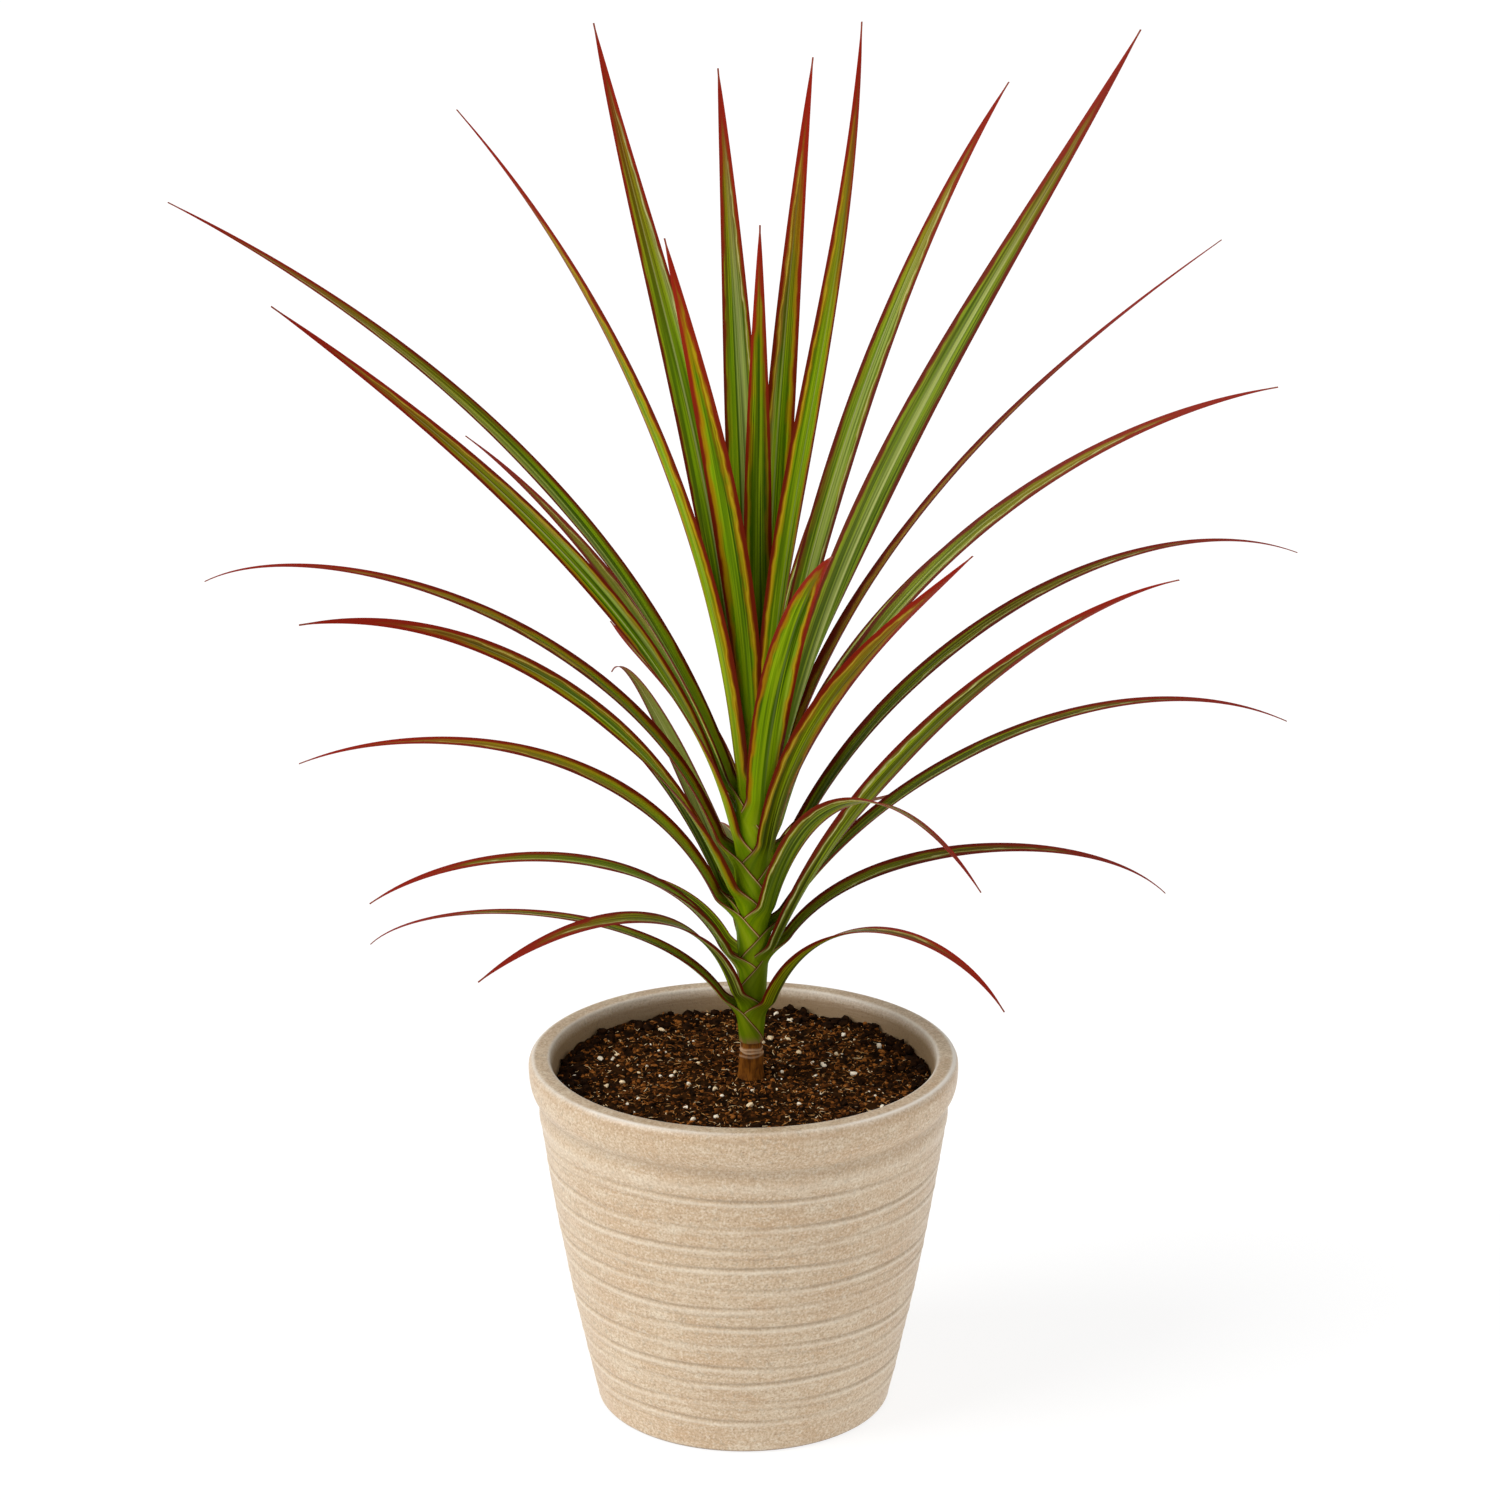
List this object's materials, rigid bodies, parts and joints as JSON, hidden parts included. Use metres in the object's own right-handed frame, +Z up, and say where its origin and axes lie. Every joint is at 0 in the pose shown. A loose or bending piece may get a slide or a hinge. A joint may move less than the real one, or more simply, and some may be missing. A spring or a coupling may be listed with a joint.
{
  "type": "potted madagascar dragon tree",
  "caption": "Young Madagascar dragon tree: narrow arching leaves on one short upright stem, growing in soil in a tapered, ribbed stoneware pot that stands on its flat underside.",
  "frame": {"origin": "middle of the pot's flat underside", "axes": "+Z up along the pot's axis; +X to the right and +Y away, as the picture looks at it"},
  "size_m": [0.4761, 0.3469, 0.586],
  "materials": {
    "stoneware": "satin",
    "soil": "rough",
    "bark": "matt",
    "leaf": "satin"
  },
  "bodies": {
    "root": {"pot": "stoneware", "soil": "soil", "trunk": "bark", "leaf_01": "leaf", "leaf_02": "leaf", "leaf_03": "leaf", "leaf_04": "leaf", "leaf_05": "leaf", "leaf_06": "leaf", "leaf_07": "leaf", "leaf_08": "leaf", "leaf_09": "leaf", "leaf_10": "leaf", "leaf_11": "leaf", "leaf_12": "leaf", "leaf_13": "leaf", "leaf_14": "leaf", "leaf_15": "leaf", "leaf_16": "leaf", "leaf_17": "leaf", "leaf_18": "leaf", "leaf_19": "leaf", "leaf_20": "leaf", "leaf_21": "leaf", "leaf_22": "leaf", "leaf_23": "leaf", "leaf_24": "leaf", "leaf_25": "leaf", "leaf_26": "leaf", "leaf_27": "leaf", "leaf_28": "leaf", "leaf_29": "leaf", "leaf_30": "leaf", "leaf_31": "leaf", "leaf_32": "leaf", "leaf_33": "leaf", "leaf_34": "leaf", "leaf_35": "leaf", "leaf_36": "leaf", "leaf_37": "leaf", "leaf_38": "leaf", "leaf_39": "leaf", "leaf_40": "leaf", "leaf_41": "leaf"}
  },
  "joints": []
}
